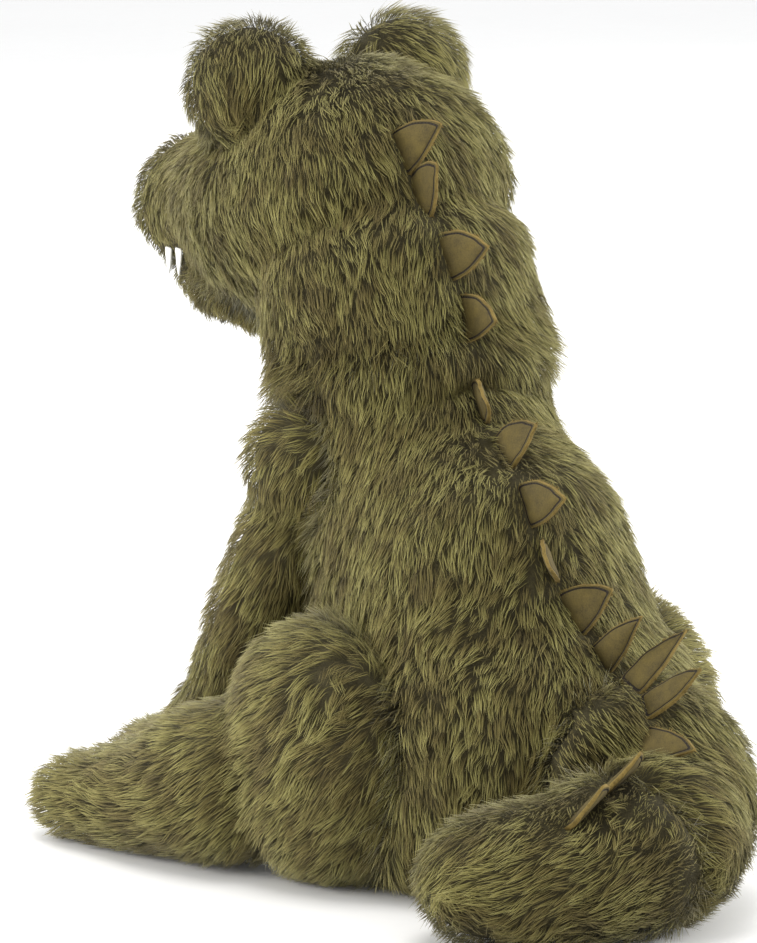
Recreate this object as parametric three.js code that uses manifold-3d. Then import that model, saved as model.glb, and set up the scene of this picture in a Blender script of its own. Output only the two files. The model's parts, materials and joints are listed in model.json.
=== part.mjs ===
// A seated plush dinosaur, built the way a soft-toy maker sews one: fur-fabric skins over
// separate stuffed cores, a bean bag in the seat, felt teeth, plastic safety eyes with lock
// washers, and a row of suede spikes in the back seam.
// Units are millimetres. +Z is up, the toy faces -Y, its left side is +X, and the origin is
// the middle of the flat seat on the floor.

import * as THREE from "three";
import { mergeVertices } from "three/addons/utils/BufferGeometryUtils.js";
import Module from "manifold-3d";

const wasm = await Module();
wasm.setup();

// ---------------------------------------------------------------- driving dimensions
const PILE = 5; // fur fabric: knitted backing and pressed pile
const GAP = 1.5; // clearance between pieces that lie against each other
const SEAM_GAP = 1.2; // clearance between two bodies that turn on each other

const BODY_HALF_WIDTH = 80;
const NECK_BALL_RADIUS = 57; // the neck seam lies on a ball of this radius
const NECK_RISE = 226; // height of the middle of that ball
const NECK_AHEAD = 68; // how far that ball stands ahead of the seat
const NECK_LEAN = 17; // degrees that the neck leans ahead
const NECK_WAD_RADIUS = 13; // the firm wad of wool that the head turns on

const HEAD_HALF_WIDTH = 71;
const SNOUT_LENGTH = 126; // from the middle of the skull to the middle of the nose
const SNOUT_HALF_WIDTH = 34;
const MOUND_SPREAD = 0.606; // from the middle to an eye mound, as a share of the head's half width
const MOUND_RADIUS = 29;
const EYE_RADIUS = 7;
const EYE_STEM_RADIUS = 2.4;
const WASHER_RADIUS = 8.5;
const WASHER_THICK = 1.8;
const TOOTH_LENGTH = 11;
const TOOTH_WIDTH = 8;
const FELT = 2; // thickness of a felt tooth

const SHOULDER_SPREAD = 51;
const SHOULDER_RADIUS = 29;
const ARM_RADIUS = 21;
const PAW_REACH = 171; // how far the paw's tip stands ahead of the shoulder

const HIP_SPREAD = 82; // from the middle to the centre of a haunch
const HAUNCH_RADIUS = 62; // seen from the side
const HAUNCH_HALF_THICK = 37;
const FOOT_RADIUS = 20;
const FOOT_REACH = 168; // from the hip to the toes
const FOOT_SPLAY = 18; // degrees outwards

const RUMP_RADIUS = 86; // the tail's root turns round a rump of this radius
const TAIL_ROOT_RADIUS = 55;
const TAIL_BEND_RADIUS = 37; // the tail's tip turns round a barrel of this radius
const TAIL_TIP_RADIUS = 28;

const SPIKE_HEIGHT = 36; // the tallest one
const SPIKE_THICK = 4; // two layers of suede with a thin wadding
// ---------------------------------------------------------------- geometry helpers
const AROUND = 20; // facets round a soft form
const RINGS = 12; // rings from end to end of a soft form
const BALL = 18; // facets round a ball or a barrel that something turns on
const SKIN_CHORD = 0.2; // slivers flatter than this are merged in a skin
const CORE_CHORD = 0.3; // and in a core

const vec = (x, y, z) => new THREE.Vector3(x, y, z);
const mirrored = (v) => vec(-v.x, v.y, v.z);
const radians = THREE.MathUtils.degToRad;

// A closed three.js geometry as a manifold solid.
function solidOf(geometry) {
  const g = geometry.index ? geometry.toNonIndexed() : geometry.clone();
  g.deleteAttribute("normal");
  g.deleteAttribute("uv");
  const merged = mergeVertices(g, 1e-3);
  const solid = new wasm.Manifold(
    new wasm.Mesh({
      numProp: 3,
      vertProperties: merged.attributes.position.array,
      triVerts: new Uint32Array(merged.index.array),
    }),
  );
  return solid;
}

// A manifold solid as a three.js geometry with flat shading.
function geometryOf(solid) {
  const mesh = solid.getMesh();
  const places = new Float32Array(mesh.numVert * 3);
  for (let i = 0; i < mesh.numVert; i++)
    places.set(mesh.vertProperties.subarray(i * mesh.numProp, i * mesh.numProp + 3), i * 3);
  const g = new THREE.BufferGeometry();
  g.setAttribute("position", new THREE.BufferAttribute(places, 3));
  g.setIndex(new THREE.BufferAttribute(mesh.triVerts, 1));
  const flat = g.toNonIndexed();
  flat.computeVertexNormals();
  return flat;
}

const joined = (solids) => solids.reduce((a, b) => a.add(b));
const without = (solid, ...cutters) => cutters.reduce((a, b) => a.subtract(b), solid);

function ball(centre, radius, around = BALL) {
  const g = new THREE.SphereGeometry(radius, around, Math.round(around * 0.6));
  return solidOf(g.translate(centre.x, centre.y, centre.z));
}

// A soft form: a round section carried along a spine of stations [x, y, z, wide, deep].
// fullness 2 is an ellipsoid, and a higher one is blunter at its ends. deepHint is the
// direction that the stations' deep radius lies nearest to.
function softForm(stations, { deepHint = vec(0, 1, 0), fullness = 3, around = AROUND, rings = RINGS } = {}) {
  const spine = new THREE.CatmullRomCurve3(stations.map((s) => vec(s[0], s[1], s[2])));
  const radii = new THREE.CatmullRomCurve3(stations.map((s) => vec(s[3], s[4], 0)));
  const length = spine.getLength();

  function surface(t, angle, inset = 0) {
    const reach = inset / length + t * (1 - (2 * inset) / length);
    const trimmed = THREE.MathUtils.clamp(reach, 0, 1);
    const along = spine.getTangent(trimmed);
    const centre = spine.getPoint(trimmed).addScaledVector(along, (reach - trimmed) * length);
    const deep = deepHint.clone().addScaledVector(along, -deepHint.dot(along)).normalize();
    const wide = along.clone().cross(deep).normalize();
    const size = radii.getPoint(trimmed);
    const round = Math.sqrt(Math.max(0, 1 - Math.abs(2 * t - 1) ** fullness));
    return centre
      .addScaledVector(wide, Math.cos(angle) * (size.x - inset) * round)
      .addScaledVector(deep, Math.sin(angle) * (size.y - inset) * round);
  }

  function solid(inset = 0) {
    const coarse = inset > 0 ? 0.6 : 1;
    const g = new THREE.SphereGeometry(1, 2 * Math.round((around * coarse) / 2), Math.round(rings * coarse));
    const p = g.attributes.position;
    for (let i = 0; i < p.count; i++) {
      const t = (1 + THREE.MathUtils.clamp(-p.getY(i), -1, 1)) / 2;
      const angle = Math.atan2(p.getZ(i), p.getX(i));
      const pole = t < 1e-6 || t > 1 - 1e-6;
      const at = surface(t, pole ? 0 : angle, inset);
      p.setXYZ(i, at.x, at.y, at.z);
    }
    const made = solidOf(g);
    return made.volume() < 0 ? solidOf(turnedOut(g)) : made;
  }

  // Where the outer surface faces, at t along the spine and angle round it.
  function normal(t, angle) {
    const step = 0.01;
    const along = surface(t + step, angle).sub(surface(t - step, angle));
    const round = surface(t, angle + step).sub(surface(t, angle - step));
    const out = along.cross(round).normalize();
    return out.dot(surface(t, angle).sub(spine.getPoint(t))) < 0 ? out.negate() : out;
  }

  return { surface, solid, normal };
}

// The same faces with their winding turned round.
function turnedOut(geometry) {
  const g = geometry.clone();
  const order = g.index.array;
  for (let i = 0; i < order.length; i += 3) [order[i + 1], order[i + 2]] = [order[i + 2], order[i + 1]];
  return g;
}

function block(low, high) {
  const size = high.clone().sub(low);
  const middle = low.clone().add(high).multiplyScalar(0.5);
  return solidOf(new THREE.BoxGeometry(size.x, size.y, size.z).translate(middle.x, middle.y, middle.z));
}

const UNDER_FLOOR = block(vec(-600, -600, -300), vec(600, 600, 0));
const onFloor = (solid) => solid.subtract(UNDER_FLOOR);
const overFloor = (solid, height) => solid.subtract(block(vec(-600, -600, -300), vec(600, 600, height)));

// A half space that lies ahead of a plane through a point.
function halfSpace(point, facing) {
  const SIZE = 900;
  const g = new THREE.BoxGeometry(SIZE, SIZE, SIZE).translate(0, 0, SIZE / 2);
  g.applyQuaternion(new THREE.Quaternion().setFromUnitVectors(vec(0, 0, 1), facing));
  return solidOf(g.translate(point.x, point.y, point.z));
}

// A ball or an upright barrel whose facets never cut inside the stated size, for sockets.
function socket(centre, radii, around = BALL) {
  const spare = 1 / Math.cos(Math.PI / around) ** 2;
  return barrel(centre, radii.clone().multiplyScalar(spare), around);
}

function barrel(centre, radii, around = BALL) {
  const g = new THREE.SphereGeometry(1, around, Math.round(around * 0.55));
  g.rotateX(Math.PI / 2);
  g.scale(radii.x, radii.y, radii.z);
  return solidOf(g.translate(centre.x, centre.y, centre.z));
}

const rounded = (r) => vec(r, r, r);

// A body of revolution on an upright axis: rows of [radius, height] from bottom to top.
function turnedForm(centre, rows, grow, around = BALL) {
  const spare = grow > 0 ? 1 / Math.cos(Math.PI / around) : 1;
  const points = rows.map(([r, z], i) => {
    const end = i === 0 ? -grow : i === rows.length - 1 ? grow : 0;
    return new THREE.Vector2(r === 0 ? 0 : (r + grow) * spare, z + end);
  });
  const g = new THREE.LatheGeometry(points, around).rotateX(Math.PI / 2);
  const made = solidOf(g.translate(centre.x, centre.y, 0));
  return made.volume() < 0 ? solidOf(turnedOut(mergeVertices(g))) : made;
}
const OUTSIDE = 0; // insets: the skin's outer face, its inner face, and the core inside it
const INSIDE = PILE;
const CORE = PILE + GAP;

function turnedSolid(solid, pivot, axis, degrees) {
  const m = new THREE.Matrix4()
    .makeTranslation(pivot.x, pivot.y, pivot.z)
    .multiply(new THREE.Matrix4().makeRotationAxis(axis, radians(degrees)))
    .multiply(new THREE.Matrix4().makeTranslation(-pivot.x, -pivot.y, -pivot.z));
  return solid.transform(m.elements);
}

// ---------------------------------------------------------------- the object
const group = new THREE.Group();
group.name = "stuffed_dinosaur";

const LOOKS = {
  fur: [0x827d50, 0.95],
  belly: [0x8f8a5c, 0.95],
  wool: [0xe9e4d6, 1.0],
  beans: [0xcfc7ae, 0.9],
  suede: [0x78642d, 0.9],
  felt: [0xf3f1ea, 0.95],
  thread: [0x2a2418, 0.8],
  eye: [0x120d08, 0.15],
  washer: [0xe4e4e0, 0.5],
};

function place(name, look, solidOrGeometry) {
  const geometry = solidOrGeometry.isBufferGeometry ? solidOrGeometry : geometryOf(solidOrGeometry);
  const [color, roughness] = LOOKS[look];
  const mesh = new THREE.Mesh(geometry, new THREE.MeshStandardMaterial({ color, roughness }));
  mesh.name = name;
  group.add(mesh);
}

// A skin with its own core: shape(inset) is the whole piece, that far inside its outer face.
// Rooms are cut afterwards, for the small parts that pass through the skin or lie in the core.
function stuffed(name, shape, opening, skinRooms = [], coreRooms = [], core = CORE) {
  const skin = without(shape(OUTSIDE), shape(INSIDE), opening).simplify(SKIN_CHORD);
  place(`${name}_skin`, "fur", without(skin, ...skinRooms));
  place(`${name}_stuffing`, "wool", without(shape(core).simplify(CORE_CHORD), ...coreRooms));
}

// ---------------------------------------------------------------- places of the seams
const NECK = vec(0, -NECK_AHEAD, NECK_RISE);
const NECK_AXIS = vec(0, -Math.sin(radians(NECK_LEAN)), Math.cos(radians(NECK_LEAN)));
const TURN = 30; // how far the head turns either way, in degrees
const NOD = 12; // how far it nods either way
const SHOULDER = vec(SHOULDER_SPREAD, -74, 188);
const HIP = vec(HIP_SPREAD, -14, HAUNCH_RADIUS - 1);
const RUMP = vec(0, 28, 48);
const TAIL_BEND = vec(2, 146, 42);

// ---------------------------------------------------------------- arms
// The left arm hangs from the shoulder to a paw that lies on the floor, toes ahead.
// Here the wide radius is up the arm's front and back, and the deep one is sideways.
const ARM_STATIONS = [
  [SHOULDER.x, SHOULDER.y, SHOULDER.z + 8, ARM_RADIUS, ARM_RADIUS],
  [56, -84, 158, ARM_RADIUS + 3, ARM_RADIUS + 2],
  [62, -97, 116, ARM_RADIUS + 4, ARM_RADIUS + 2],
  [62, -120, 80, ARM_RADIUS, ARM_RADIUS],
  [60, -145, 48, ARM_RADIUS, ARM_RADIUS],
  [58, -178, 26, ARM_RADIUS, ARM_RADIUS + 1],
  [56, -212, 19, ARM_RADIUS - 2, ARM_RADIUS + 1],
  [56, SHOULDER.y - PAW_REACH, 18, ARM_RADIUS - 4, ARM_RADIUS - 1],
];

const SIDEWAYS = { deepHint: vec(1, 0, 0) };

function flipped(stations, side) {
  return stations.map(([x, y, z, wide, deep]) => [x * side, y, z, wide, deep]);
}

function armShape(side, inset) {
  const form = softForm(flipped(ARM_STATIONS, side), { ...SIDEWAYS, fullness: 5, around: 12, rings: 10 });
  const at = vec(SHOULDER.x * side, SHOULDER.y, SHOULDER.z);
  const whole = form.solid(inset).add(barrel(at, rounded(SHOULDER_RADIUS - inset), inset ? 10 : 14));
  return overFloor(whole, inset);
}

// ---------------------------------------------------------------- legs
const LEG_OUT = Math.sin(radians(FOOT_SPLAY));
const LEG_AHEAD = -Math.cos(radians(FOOT_SPLAY));

// A haunch that looks round from the side, and a leg that lies ahead along the floor.
function haunch(side, grow, around = 20) {
  const g = new THREE.SphereGeometry(1, around, Math.round(around * 0.55));
  g.rotateZ(Math.PI / 2);
  g.scale(HAUNCH_HALF_THICK + grow, HAUNCH_RADIUS + grow, HAUNCH_RADIUS + grow);
  return solidOf(g.translate(HIP.x * side, HIP.y, HIP.z));
}

function legShape(side, inset) {
  const along = (reach, z, wide, deep) => [
    (HIP.x + 8 + reach * LEG_OUT) * side,
    HIP.y + reach * LEG_AHEAD,
    z,
    wide,
    deep,
  ];
  const stations = [
    along(8, 50, 36, 46),
    along(42, 44, 36, 42),
    along(78, 33, 31, 33),
    along(112, 24, FOOT_RADIUS + 4, FOOT_RADIUS + 3),
    along(142, 20, FOOT_RADIUS + 1, FOOT_RADIUS),
    along(FOOT_REACH, 19, FOOT_RADIUS, FOOT_RADIUS - 2),
  ];
  const leg = softForm(stations, { deepHint: vec(0, 0, 1), fullness: 5, around: 12, rings: 8 });
  return overFloor(haunch(side, -inset, inset ? 12 : 16).add(leg.solid(inset)), inset);
}

// ---------------------------------------------------------------- tail
// The root leaves the rump, swings out to the right and bends; the tip curls back to the left.
const TAIL_BASE_STATIONS = [
  [0, 62, 57, TAIL_ROOT_RADIUS, TAIL_ROOT_RADIUS + 1],
  [-10, 92, 55, TAIL_ROOT_RADIUS + 1, TAIL_ROOT_RADIUS - 1],
  [-17, 114, 50, TAIL_ROOT_RADIUS - 6, TAIL_ROOT_RADIUS - 6],
  [-10, 132, 44, TAIL_BEND_RADIUS + 1, TAIL_BEND_RADIUS + 3],
  [TAIL_BEND.x + 8, TAIL_BEND.y + 4, 41, TAIL_BEND_RADIUS - 5, TAIL_BEND_RADIUS - 3],
];
const TAIL_TIP_STATIONS = [
  [TAIL_BEND.x - 12, TAIL_BEND.y - 6, 42, TAIL_BEND_RADIUS + 6, TAIL_BEND_RADIUS + 4],
  [22, 152, 38, TAIL_BEND_RADIUS + 3, TAIL_BEND_RADIUS],
  [50, 151, 33, TAIL_TIP_RADIUS + 7, TAIL_TIP_RADIUS + 5],
  [80, 139, 30, TAIL_TIP_RADIUS + 3, TAIL_TIP_RADIUS + 1],
  [110, 117, 28, TAIL_TIP_RADIUS, TAIL_TIP_RADIUS - 1],
];
const UPRIGHT = vec(0, 0, 1);
const tailBaseForm = softForm(TAIL_BASE_STATIONS, { deepHint: UPRIGHT, fullness: 8, around: 14, rings: 8 });
const tailTipForm = softForm(TAIL_TIP_STATIONS, { deepHint: UPRIGHT, fullness: 6, around: 14, rings: 9 });
const BEND_SIZE = vec(TAIL_BEND_RADIUS, TAIL_BEND_RADIUS, TAIL_BEND_RADIUS);
const TIP_SIDE = halfSpace(TAIL_BEND, vec(0.91, 0.41, 0).normalize());

const CURL_IN = 5; // degrees that the tip can curl in towards the haunch

// Everything ahead of the rump's middle, which the tail's root never reaches.
const AHEAD_OF_RUMP = halfSpace(RUMP, vec(0, -1, 0));

function grown(size, by) {
  return vec(size.x + by, size.y + by, size.z + by);
}

const RUMP_ROWS = [
  [0, -20],
  [46, -14],
  [64, 0],
  [78, 15],
  [RUMP_RADIUS - 2, 34],
  [RUMP_RADIUS, 55],
  [RUMP_RADIUS - 4, 80],
  [RUMP_RADIUS - 14, 105],
  [RUMP_RADIUS - 32, 128],
  [28, 148],
  [0, 157],
];

// The room that the tip's near end takes as it curls.
const nearTipStations = TAIL_TIP_STATIONS.slice(0, 3);
const nearTipForm = softForm(nearTipStations, { deepHint: UPRIGHT, fullness: 9, around: 12, rings: 5 });

function tipSweep(grow) {
  const side = TIP_SIDE.translate(-0.91 * grow, -0.41 * grow, 0);
  const tip = nearTipForm.solid(-grow).intersect(side);
  return wasm.Manifold.hull([tip, turnedSolid(tip, TAIL_BEND, UPRIGHT, -CURL_IN)]);
}

function tailBaseShape(inset) {
  const bend = barrel(TAIL_BEND, grown(BEND_SIZE, -inset), inset ? 16 : BALL);
  const root = tailBaseForm.solid(inset).subtract(tipSweep(SEAM_GAP + inset));
  const whole = inset > INSIDE ? root.subtract(TIP_SIDE.translate(-inset - 8, 0, 0)) : root.add(bend);
  const rump = turnedForm(RUMP, RUMP_ROWS, SEAM_GAP + inset);
  return overFloor(without(whole, rump, AHEAD_OF_RUMP), inset);
}

function tailTipShape(inset) {
  const whole = tailTipForm.solid(inset).intersect(TIP_SIDE.translate(inset, 0.5 * inset, 0));
  return overFloor(whole.subtract(socket(TAIL_BEND, grown(BEND_SIZE, SEAM_GAP + inset))), inset);
}

// ---------------------------------------------------------------- torso
const TORSO_STATIONS = [
  [0, 2, -12, BODY_HALF_WIDTH - 18, 62],
  [0, 4, 10, BODY_HALF_WIDTH - 4, 82],
  [0, 6, 48, BODY_HALF_WIDTH, 91],
  [0, 2, 88, BODY_HALF_WIDTH - 4, 94],
  [0, -4, 122, BODY_HALF_WIDTH - 9, 92],
  [0, -27, 152, BODY_HALF_WIDTH - 18, 76],
  [0, -50, 182, BODY_HALF_WIDTH - 23, 64],
  [0, -60, 206, NECK_BALL_RADIUS + 2, 60],
  [0, -NECK_AHEAD, NECK_RISE, NECK_BALL_RADIUS, NECK_BALL_RADIUS],
  [0, -NECK_AHEAD - 12, NECK_RISE + 40, NECK_BALL_RADIUS - 10, NECK_BALL_RADIUS - 10],
];
const ABOVE_SEAM = halfSpace(NECK.clone().addScaledVector(NECK_AXIS, -18), NECK_AXIS);
const TAIL_ZONE = halfSpace(RUMP.clone().add(vec(0, 34, 0)), vec(0, 1, 0)).intersect(
  block(vec(-200, -200, -50), vec(200, 400, 112)),
);
const ARM_SWING = 40; // degrees forward and up

function armSweep(side, grow) {
  const at = vec(SHOULDER.x * side, SHOULDER.y, SHOULDER.z);
  const upper = ARM_STATIONS.slice(0, 5);
  const form = softForm(flipped(upper, side), { ...SIDEWAYS, fullness: 9, around: 10, rings: 5 });
  const arm = form.solid(-grow - 0.6);
  const steps = [0, 0.5, 1].map((share) => turnedSolid(arm, at, vec(1, 0, 0), -share * ARM_SWING));
  return wasm.Manifold.hull(steps).add(socket(at, rounded(SHOULDER_RADIUS + grow), 14));
}

function torsoShape(inset) {
  const form = softForm(TORSO_STATIONS, { deepHint: vec(0, 1, 0), fullness: 9, around: 18, rings: 10 });
  const neckBall = barrel(NECK, rounded(NECK_BALL_RADIUS - inset), inset ? 16 : BALL);
  const aboveSeam = ABOVE_SEAM.translate(0, 0, -inset * 0.2);
  const rump = turnedForm(RUMP, RUMP_ROWS, -inset, inset ? 16 : BALL);
  const trimmed = without(form.solid(inset), aboveSeam, TAIL_ZONE);
  const whole = joined([trimmed, neckBall, rump]);
  const fitted = without(
    whole,
    haunch(1, inset + SEAM_GAP + 1.2, inset ? 12 : 16),
    haunch(-1, inset + SEAM_GAP + 1.2, inset ? 12 : 16),
    armSweep(1, inset + SEAM_GAP),
    armSweep(-1, inset + SEAM_GAP),
  );
  return overFloor(fitted, inset);
}

// ---------------------------------------------------------------- head
const SKULL = vec(0, -114, 306);
const SKULL_STATIONS = [
  [0, SKULL.y + 66, SKULL.z + 10, 46, 38],
  [0, SKULL.y + 40, SKULL.z + 8, HEAD_HALF_WIDTH - 6, 56],
  [0, SKULL.y, SKULL.z + 2, HEAD_HALF_WIDTH, 64],
  [0, SKULL.y - 36, SKULL.z - 9, HEAD_HALF_WIDTH - 5, 56],
  [0, SKULL.y - 66, SKULL.z - 12, HEAD_HALF_WIDTH - 13, 50],
  [0, SKULL.y - 98, SKULL.z - 17, SNOUT_HALF_WIDTH + 9, 43],
  [0, SKULL.y - SNOUT_LENGTH, SKULL.z - 19, SNOUT_HALF_WIDTH + 1, 38],
  [0, SKULL.y - SNOUT_LENGTH - 32, SKULL.z - 20, SNOUT_HALF_WIDTH, 36],
  [0, SKULL.y - SNOUT_LENGTH - 51, SKULL.z - 22, SNOUT_HALF_WIDTH - 3, 31],
];
const NAPE_STATIONS = [
  [0, -NECK_AHEAD + 13, NECK_RISE - 42, NECK_BALL_RADIUS + 3, NECK_BALL_RADIUS + 3],
  [0, -NECK_AHEAD, NECK_RISE, NECK_BALL_RADIUS + 5, NECK_BALL_RADIUS + 5],
  [0, -NECK_AHEAD - 14, NECK_RISE + 44, NECK_BALL_RADIUS + 8, NECK_BALL_RADIUS + 4],
  [0, -NECK_AHEAD - 30, NECK_RISE + 90, NECK_BALL_RADIUS + 6, 50],
];
const BELOW_SEAM = halfSpace(NECK, NECK_AXIS.clone().negate());
const MOUND = vec(MOUND_SPREAD * HEAD_HALF_WIDTH, SKULL.y - 30, SKULL.z + 53);

// Where the shoulders come to as the head turns and nods, seen from the head.
function shoulderPaths(grow) {
  const paths = [];
  for (const side of [1, -1]) {
    const at = vec(SHOULDER.x * side, SHOULDER.y, SHOULDER.z);
    const ball = socket(at, rounded(SHOULDER_RADIUS + grow), 14);
    for (const share of [0, 0.5, 1]) {
      const turned = turnedSolid(ball, NECK, NECK_AXIS, -side * share * TURN);
      paths.push(turnedSolid(turned, NECK, vec(1, 0, 0), -NOD));
    }
  }
  return joined(paths);
}

function headShape(inset) {
  const whole = joined([
    skullForm.solid(inset),
    napeForm.solid(inset),
    barrel(MOUND, rounded(MOUND_RADIUS - inset), inset ? 10 : 14),
    barrel(mirrored(MOUND), rounded(MOUND_RADIUS - inset), inset ? 10 : 14),
  ]);
  const below = BELOW_SEAM.translate(0, -inset * 0.3, inset);
  const shoulders = shoulderPaths(SEAM_GAP + inset);
  const neck = socket(NECK, rounded(NECK_BALL_RADIUS + SEAM_GAP + inset));
  return without(whole, below, mouthRoom(-inset), shoulders, neck);
}

// The lower jaw: a separate bag sewn under the snout, its mouth kept shut.
const MOUTH_HEIGHT = 261;
const JAW_ROOT = SKULL.y - 36;
const JAW_STATIONS = [
  [0, JAW_ROOT + 12, 254, 46, 19],
  [0, JAW_ROOT - 36, 254, 39, 17],
  [0, JAW_ROOT - 70, 255, 31, 14],
  [0, JAW_ROOT - 96, 256, 24, 12],
  [0, JAW_ROOT - 116, 257, 21, 11],
];

// The room under the snout that the jaw fills.
function mouthRoom(shrink) {
  return block(vec(-90, -400, 120), vec(90, JAW_ROOT - shrink, MOUTH_HEIGHT - shrink));
}

function jawShape(inset) {
  const form = softForm(JAW_STATIONS, { deepHint: UPRIGHT, fullness: 5, around: 16, rings: 8 });
  return form.solid(inset).intersect(mouthRoom(GAP + inset));
}

// ---------------------------------------------------------------- small parts
// A safety eye in the front of each mound: a domed button on a stem, held by a washer inside.
const EYE_FACING = vec(0.35, -0.86, 0.37).normalize();

function eyeFrame(side) {
  const facing = vec(EYE_FACING.x * side, EYE_FACING.y, EYE_FACING.z);
  const mound = vec(MOUND.x * side, MOUND.y, MOUND.z);
  return { facing, seat: mound.addScaledVector(facing, MOUND_RADIUS - 0.6) };
}

function alongAxis(geometry, at, axis) {
  geometry.applyQuaternion(new THREE.Quaternion().setFromUnitVectors(vec(0, 1, 0), axis));
  return solidOf(geometry.translate(at.x, at.y, at.z));
}

function rod(at, axis, radius, from, to, around = 10) {
  const g = new THREE.CylinderGeometry(radius, radius, to - from, around).translate(0, (from + to) / 2, 0);
  return alongAxis(g, at, axis);
}

function eyeSolid(side) {
  const { facing, seat } = eyeFrame(side);
  const rim = [[0, 0], [EYE_RADIUS, 0], [EYE_RADIUS, 1.2]];
  const dome = [...rim, [EYE_RADIUS * 0.82, 3], [EYE_RADIUS * 0.45, 4.4], [0, 5]];
  const cap = new THREE.LatheGeometry(dome.map(([r, y]) => new THREE.Vector2(r, y)), 12);
  return alongAxis(cap, seat, facing).add(rod(seat, facing, EYE_STEM_RADIUS, -PILE - 5, 0.5, 8));
}

// The room that an eye and its washer take in the skin and in the stuffing.
function eyeRoom(side) {
  const { facing, seat } = eyeFrame(side);
  const under = rod(seat, facing, EYE_RADIUS + 1, -0.6, 12, 10);
  return under.add(rod(seat, facing, EYE_STEM_RADIUS + GAP / 3, -14, 1, 8));
}

function washerSolid(side) {
  const { facing, seat } = eyeFrame(side);
  const back = -PILE - 1.4;
  const disc = rod(seat, facing, WASHER_RADIUS, back - WASHER_THICK, back, 12);
  return disc.subtract(rod(seat, facing, EYE_STEM_RADIUS + 0.5, back - 8, back + 8, 8));
}

function washerRoom(side) {
  const { facing, seat } = eyeFrame(side);
  return rod(seat, facing, WASHER_RADIUS + 1, -PILE - 12, -PILE, 8);
}

// A flat flap: an outline in its own plane, thickened across that plane.
// toWorld puts outline x along "along", outline y along "up", and centres the thickness.
function flap(outline, thickness, at, along, up) {
  const g = new THREE.ExtrudeGeometry(outline, { depth: thickness, bevelEnabled: false, curveSegments: 3 });
  g.translate(0, 0, -thickness / 2);
  const across = along.clone().cross(up).normalize();
  g.applyMatrix4(new THREE.Matrix4().makeBasis(along, up, across));
  return solidOf(g.translate(at.x, at.y, at.z));
}

function toothOutline(width, length) {
  const s = new THREE.Shape();
  s.moveTo(-width / 2, 0);
  s.lineTo(width / 2, 0);
  s.quadraticCurveTo(width * 0.4, length * 0.6, 0, length);
  s.quadraticCurveTo(-width * 0.4, length * 0.6, -width / 2, 0);
  return s;
}

// A spike's outline: a broad foot, a belly on its upper side and a tip set at a share of the foot.
function spikeOutline(length, height, root, tip) {
  const s = new THREE.Shape();
  s.moveTo(-length / 2, -root);
  s.lineTo(length / 2, -root);
  s.lineTo(length / 2, 0);
  s.quadraticCurveTo(length * (0.3 + 0.55 * tip), height * 0.45, length * tip, height);
  s.quadraticCurveTo(length * (0.35 * tip - 0.36), height * 0.82, -length / 2, 0);
  s.lineTo(-length / 2, -root);
  return s;
}

const skullForm = softForm(SKULL_STATIONS, { deepHint: UPRIGHT, fullness: 6, around: 16, rings: 13 });
const napeForm = softForm(NAPE_STATIONS, { deepHint: vec(0, 1, 0), fullness: 6, around: 18, rings: 6 });

// Where a ray from inside a solid leaves its outer face.
function leaves(solid, from, direction) {
  const mesh = new THREE.Mesh(geometryOf(solid), new THREE.MeshBasicMaterial({ side: THREE.DoubleSide }));
  mesh.updateMatrixWorld(true);
  const hits = new THREE.Raycaster(from, direction.clone().normalize()).intersectObject(mesh);
  return hits[hits.length - 1].point;
}

for (const [side, name] of [[1, "left"], [-1, "right"]]) {
  const armpit = vec((SHOULDER.x - SHOULDER_RADIUS) * side, SHOULDER.y + 4, SHOULDER.z);
  const shoulderIn = barrel(armpit, rounded(11), 8);
  stuffed(`arm_${name}`, (inset) => armShape(side, inset), shoulderIn);
  const hipIn = barrel(vec((HIP.x - HAUNCH_HALF_THICK) * side, HIP.y, HIP.z), rounded(14), 8);
  stuffed(`leg_${name}`, (inset) => legShape(side, inset), hipIn);
  place(`safety_eye_${name}`, "eye", eyeSolid(side));
  place(`eye_washer_${name}`, "washer", washerSolid(side));
}

// ---------------------------------------------------------------- spikes
// Rows are [form, x, y, z, length, share of the tallest, degrees of lean, the tip's place along the foot].
const SPIKES = [
  ["head", 13, -56, 333, 22, 0.8, -30, -0.1],
  ["head", 10, -43, 313, 24, 0.8, -15, 0.1],
  ["head", 7, -26, 287, 23, 0.8, -20, 0.2],
  ["head", 3, -15, 260, 22, 0.7, -5, 0.3],
  ["torso", 4, 0, 222, 22, 0.56, 15, 0.5],
  ["torso", 8, 25, 201, 23, 0.62, -15, 0.4],
  ["torso", 12, 50, 180, 21, 0.75, -15, 0.3],
  ["torso", 9, 66, 157, 20, 0.68, 25, 0.4],
  ["torso", 4, 79, 133, 22, 0.66, -15, 0],
  ["torso", -3, 92, 114, 15, 0.86, -15, -0.3],
  ["tail_base", -8, 110, 104, 14, 1, -30, 0.1],
  ["tail_base", -6, 124.5, 95.5, 14.5, 0.92, -45, 0.1],
  ["tail_base", 3, 138, 84.5, 20, 0.86, -55, 0.1],
  ["tail_tip", 34, 157, 72, 20, 0.78, -60, 0.3],
  ["tail_tip", 55, 164, 61, 25, 0.68, -45, 0],
];
const SPIKE_ROOT = 3; // how deep a spike's foot sits in the back seam
const PROBE = 0.06; // the turn between two rays that feel the slope of a surface

const torsoSolid = torsoShape(OUTSIDE);
const SPIKED = {
  head: [headShape(OUTSIDE), vec(0, -110, 286)],
  torso: [torsoSolid, vec(0, -40, 150)],
  tail_base: [tailBaseShape(OUTSIDE), vec(-4, 112, 52)],
  tail_tip: [tailTipShape(OUTSIDE), vec(45, 158, 38)],
};

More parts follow.
